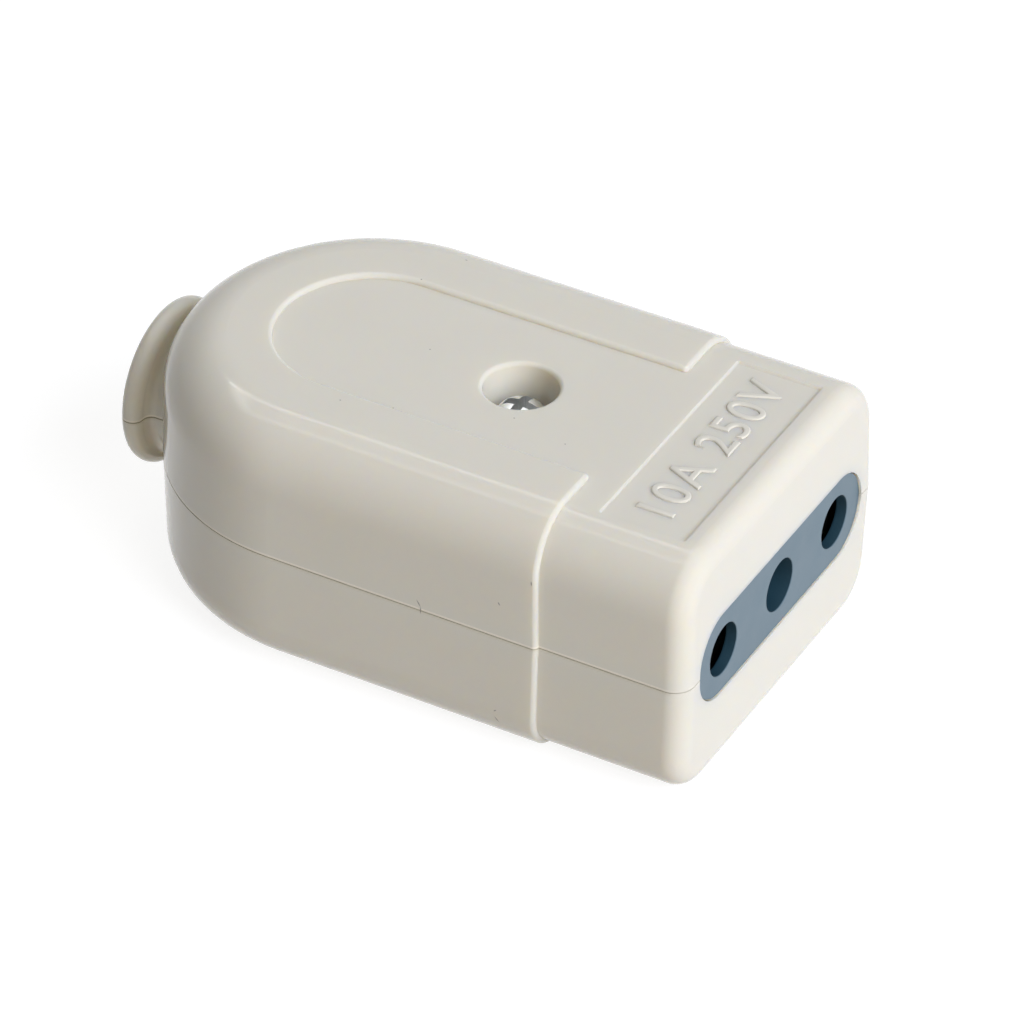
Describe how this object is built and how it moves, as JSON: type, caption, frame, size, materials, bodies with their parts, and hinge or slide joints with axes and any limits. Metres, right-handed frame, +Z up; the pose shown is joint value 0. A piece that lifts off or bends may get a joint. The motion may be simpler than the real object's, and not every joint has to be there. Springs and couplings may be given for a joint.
{
  "type": "in-line power socket",
  "caption": "Clamshell in-line cord socket with round pin entries in a row, a sprung shutter, brass contacts, a single case screw and a bell-mouthed cord inlet.",
  "frame": {"origin": "middle of the bounding box's underside, where the socket rests", "axes": "+X out of the pin entries, along the pins; +Y across the row of entries; +Z up, towards the case screw's head"},
  "size_m": [0.0568, 0.0338, 0.023],
  "materials": {
    "ivory_case": "satin moulded",
    "blue_grey_insert": "satin",
    "black_shutter": "satin",
    "white_carrier": "matt",
    "contact_brass": "plain",
    "plated_steel": "zinc plated",
    "spring_steel": "drawn wire"
  },
  "bodies": {
    "case": {"upper_shell": "ivory_case", "lower_shell": "ivory_case", "socket_face": "blue_grey_insert", "left_shutter_spring": "spring_steel", "right_shutter_spring": "spring_steel", "contact_carrier": "white_carrier", "line_contact": "contact_brass", "earth_contact": "contact_brass", "neutral_contact": "contact_brass", "line_terminal": "contact_brass", "earth_terminal": "contact_brass", "neutral_terminal": "contact_brass", "terminal_screws": "plated_steel", "case_screw": "plated_steel", "case_nut": "plated_steel", "cord_clamp": "white_carrier", "cord_clamp_screws": "plated_steel"},
    "shutter": {"shutter": "black_shutter"}
  },
  "joints": [
    {"name": "shutter_slide", "type": "slide", "parent": "case", "child": "shutter", "axis": [0, 0, 1], "range_m": [0, 0.0044], "stiffness_N_per_m": 150, "springref_m": -0.0005, "deforming": ["left_shutter_spring", "right_shutter_spring"]}
  ]
}
